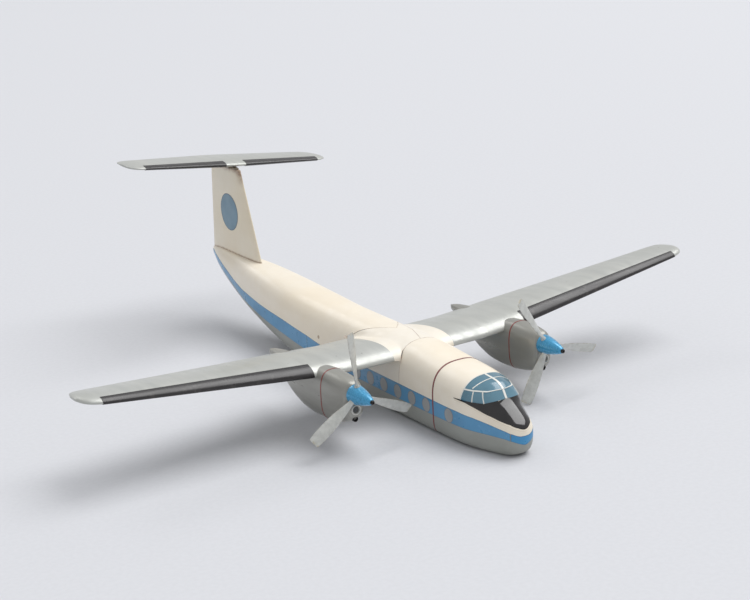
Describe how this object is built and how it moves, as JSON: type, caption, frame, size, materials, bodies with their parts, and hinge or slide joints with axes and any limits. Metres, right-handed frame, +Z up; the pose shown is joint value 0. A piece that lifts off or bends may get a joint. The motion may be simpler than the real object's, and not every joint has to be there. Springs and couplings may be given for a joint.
{
  "type": "propeller plane model",
  "caption": "High-wing T-tailed transport aircraft desk model with split-colour fuselage, underslung engine nacelles and free-turning spinner and blade propellers.",
  "frame": {"origin": "centre of the stand socket's mouth, in the flat of the belly", "axes": "+Z up, nose towards -Y, +X to the aircraft's port side"},
  "size_m": [0.3932, 0.3343, 0.1132],
  "materials": {
    "lower_body": "aged satin grey paint, lightly scuffed",
    "forward_upper_body": "aged cream gloss paint, yellowed and a little speckled",
    "aft_upper_body": "aged cream gloss paint, yellowed, speckled towards the tail",
    "wing_root": "aged cream gloss paint with dark seams",
    "wing_spar": "plain wooden rod",
    "wing": "satin silver-grey paint with faint streaks",
    "wing_boot": "semi-gloss black film",
    "nacelle": "satin silver-grey paint",
    "nacelle_band": "thin painted line",
    "intake_lip": "pale grey paint",
    "intake_mesh": "dark grey",
    "drain_pipe": "black",
    "prop_pin": "dark worn steel",
    "spinner": "sky-blue metallic paint",
    "blade": "satin silver paint with yellow tips",
    "fin": "aged cream gloss paint",
    "fin_dowel": "plain wooden dowel",
    "tailplane": "satin silver-grey paint",
    "tail_pin": "plain steel pin",
    "tail_joint_glue": "dirty brown hardened glue",
    "tail_boot": "semi-gloss black film",
    "fin_roundels": "flat blue disc",
    "nose_stripe": "brighter blue film with a thin gold edge",
    "stripe": "mid-blue film",
    "body_band": "thin red-brown line",
    "windows": "grey film",
    "antiglare_panel": "gloss black film",
    "windscreen_panes": "teal-grey film",
    "windscreen_frame": "white film",
    "stand_socket": "plain brass"
  },
  "bodies": {
    "airframe": {"lower_body": "lower_body", "forward_upper_body": "forward_upper_body", "aft_upper_body": "aft_upper_body", "starboard_wing_root": "wing_root", "port_wing_root": "wing_root", "wing_spar": "wing_spar", "starboard_wing": "wing", "port_wing": "wing", "starboard_wing_boot": "wing_boot", "port_wing_boot": "wing_boot", "starboard_nacelle": "nacelle", "port_nacelle": "nacelle", "starboard_nacelle_band": "nacelle_band", "port_nacelle_band": "nacelle_band", "starboard_intake_lip": "intake_lip", "port_intake_lip": "intake_lip", "starboard_intake_mesh": "intake_mesh", "port_intake_mesh": "intake_mesh", "starboard_drain_pipe": "drain_pipe", "port_drain_pipe": "drain_pipe", "starboard_prop_pin": "prop_pin", "port_prop_pin": "prop_pin", "fin": "fin", "fin_dowel": "fin_dowel", "tailplane": "tailplane", "tail_pin": "tail_pin", "tail_joint_glue": "tail_joint_glue", "starboard_tail_boot": "tail_boot", "port_tail_boot": "tail_boot", "fin_roundels": "fin_roundels", "nose_stripe": "nose_stripe", "starboard_stripe": "stripe", "port_stripe": "stripe", "body_band": "body_band", "starboard_windows": "windows", "port_windows": "windows", "antiglare_panel": "antiglare_panel", "windscreen_panes": "windscreen_panes", "windscreen_frame": "windscreen_frame", "stand_socket": "stand_socket"},
    "starboard_propeller": {"starboard_spinner": "spinner", "starboard_blade_1": "blade", "starboard_blade_2": "blade", "starboard_blade_3": "blade"},
    "port_propeller": {"port_spinner": "spinner", "port_blade_1": "blade", "port_blade_2": "blade", "port_blade_3": "blade"}
  },
  "joints": [
    {"name": "starboard_propeller_spin", "type": "hinge", "parent": "airframe", "child": "starboard_propeller", "pos_m": [-0.0615, -0.0617, 0.0316], "axis": [0, 1, 0], "continuous": true},
    {"name": "port_propeller_spin", "type": "hinge", "parent": "airframe", "child": "port_propeller", "pos_m": [0.0615, -0.0617, 0.0316], "axis": [0, 1, 0], "continuous": true}
  ]
}
